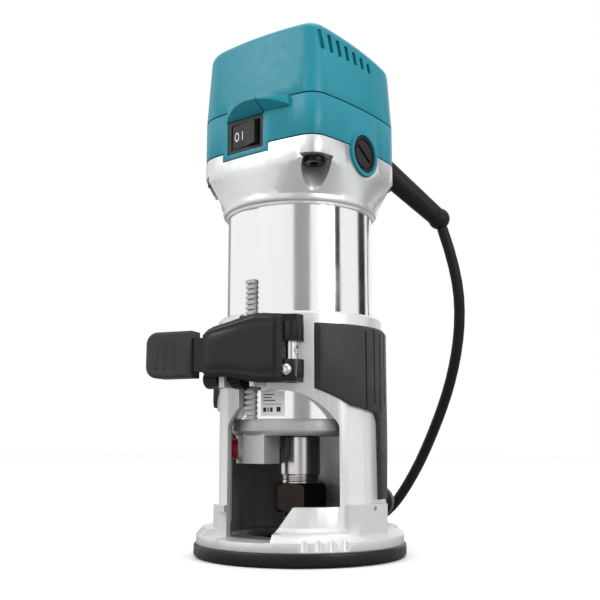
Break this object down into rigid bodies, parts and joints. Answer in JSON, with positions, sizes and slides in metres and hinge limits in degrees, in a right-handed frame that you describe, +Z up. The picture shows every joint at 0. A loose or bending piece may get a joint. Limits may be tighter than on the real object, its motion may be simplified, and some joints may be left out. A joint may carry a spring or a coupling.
{
  "type": "trim router",
  "caption": "Compact corded trim router: square head on a round motor tube that slides in a clamped base casting, with a collet, a lever clamp and a round base plate.",
  "frame": {"origin": "on the spindle axis, at the underside of the base plate, where the router stands on the work", "axes": "+Z up along the spindle axis; -Y towards the switch side, +X towards the brush cap side"},
  "size_m": [0.1556, 0.1892, 0.2242],
  "materials": {
    "teal_plastic": "fine-textured moulded nylon",
    "black_plastic": "moulded",
    "gloss_black": "glossy moulded",
    "red_plastic": "moulded",
    "tube_aluminium": "polished, turned",
    "base_aluminium": "satin, blasted die casting",
    "bracket_aluminium": "as cast",
    "dark_steel": "blackened",
    "bright_steel": "ground",
    "lamination": "stacked sheets",
    "copper": "enamelled wire",
    "brass": "bright",
    "carbon": "pressed carbon",
    "grip_rubber": "moulded soft grip",
    "cord_rubber": "flexible jacket",
    "board": "circuit board",
    "clear_plastic": "clear moulded"
  },
  "bodies": {
    "motor_unit": {"head_casting": "base_aluminium", "switch_housing": "teal_plastic", "top_cover": "teal_plastic", "head_screws": "dark_steel", "motor_tube": "tube_aluminium", "depth_rack": "dark_steel", "end_bracket": "bracket_aluminium", "shaft_lock_spring": "dark_steel", "lower_bearing": "bright_steel", "upper_bearing": "bright_steel", "stator_core": "lamination", "field_coils": "copper", "stator_sleeve": "black_plastic", "brush_holders": "brass", "carbon_brushes": "carbon", "brush_caps": "black_plastic", "switch_body": "black_plastic", "controller_board": "board", "cord_guard": "cord_rubber", "cord": "cord_rubber", "cord_coil": "cord_rubber", "plug": "cord_rubber"},
    "base": {"base_casting": "base_aluminium", "base_plate": "black_plastic", "plate_screws": "bright_steel", "right_grip": "grip_rubber", "left_grip": "grip_rubber", "chip_deflector": "clear_plastic", "lever_pin": "bright_steel", "clamp_bolt": "bright_steel", "clamp_nut": "bright_steel"},
    "lever": {"clamp_lever": "gloss_black", "lever_pad": "grip_rubber"},
    "pinion": {"depth_pinion": "dark_steel", "pinion_knob": "black_plastic"},
    "guide_knob": {"guide_screw": "black_plastic"},
    "spindle": {"armature_shaft": "bright_steel", "armature_core": "lamination", "armature_windings": "copper", "commutator": "copper", "cooling_fan": "black_plastic", "collet_cone": "bright_steel"},
    "nut": {"collet_nut": "dark_steel"},
    "lock": {"shaft_lock_button": "red_plastic", "shaft_lock_pin": "bright_steel"},
    "switch_rocker": {"rocker": "gloss_black"},
    "dial": {"speed_dial": "black_plastic"}
  },
  "joints": [
    {"name": "base_slide", "type": "slide", "parent": "motor_unit", "child": "base", "axis": [0, 0, 1], "range_m": [-0.02, 0.015]},
    {"name": "lever_swing", "type": "hinge", "parent": "base", "child": "lever", "pos_m": [0.02285, -0.03506, 0.0833], "axis": [0, 0, 1], "range_deg": [0, 110]},
    {"name": "pinion_turn", "type": "hinge", "parent": "base", "child": "pinion", "pos_m": [0, -0.0392, 0.0734], "axis": [1, 0, 0], "range_deg": [-164, 219]},
    {"name": "guide_screw_turn", "type": "hinge", "parent": "base", "child": "guide_knob", "pos_m": [0.01483, 0.03671, 0.0204], "axis": [-0.3907, 0.9205, 0], "range_deg": [0, 1440]},
    {"name": "spindle_turn", "type": "hinge", "parent": "motor_unit", "child": "spindle", "pos_m": [0, 0, 0.06], "axis": [0, 0, 1], "continuous": true},
    {"name": "collet_nut_turn", "type": "hinge", "parent": "spindle", "child": "nut", "pos_m": [0, 0, 0.024], "axis": [0, 0, 1], "range_deg": [0, 1080]},
    {"name": "shaft_lock_press", "type": "slide", "parent": "motor_unit", "child": "lock", "axis": [0.6947, 0.7193, 0], "range_m": [0, 0.0026], "stiffness_N_per_m": 600, "springref_m": -0.002},
    {"name": "rocker_tip", "type": "hinge", "parent": "motor_unit", "child": "switch_rocker", "pos_m": [-0.0023, -0.0329, 0.179], "axis": [0, 0, 1], "range_deg": [0, 18]},
    {"name": "speed_dial_turn", "type": "hinge", "parent": "motor_unit", "child": "dial", "pos_m": [0.014, 0.017, 0.2216], "axis": [0, 0, 1], "range_deg": [0, 270]}
  ],
  "couplings": [
    {"joint": "pinion_turn", "follows": "base_slide", "rad_per_m": -190.48}
  ]
}
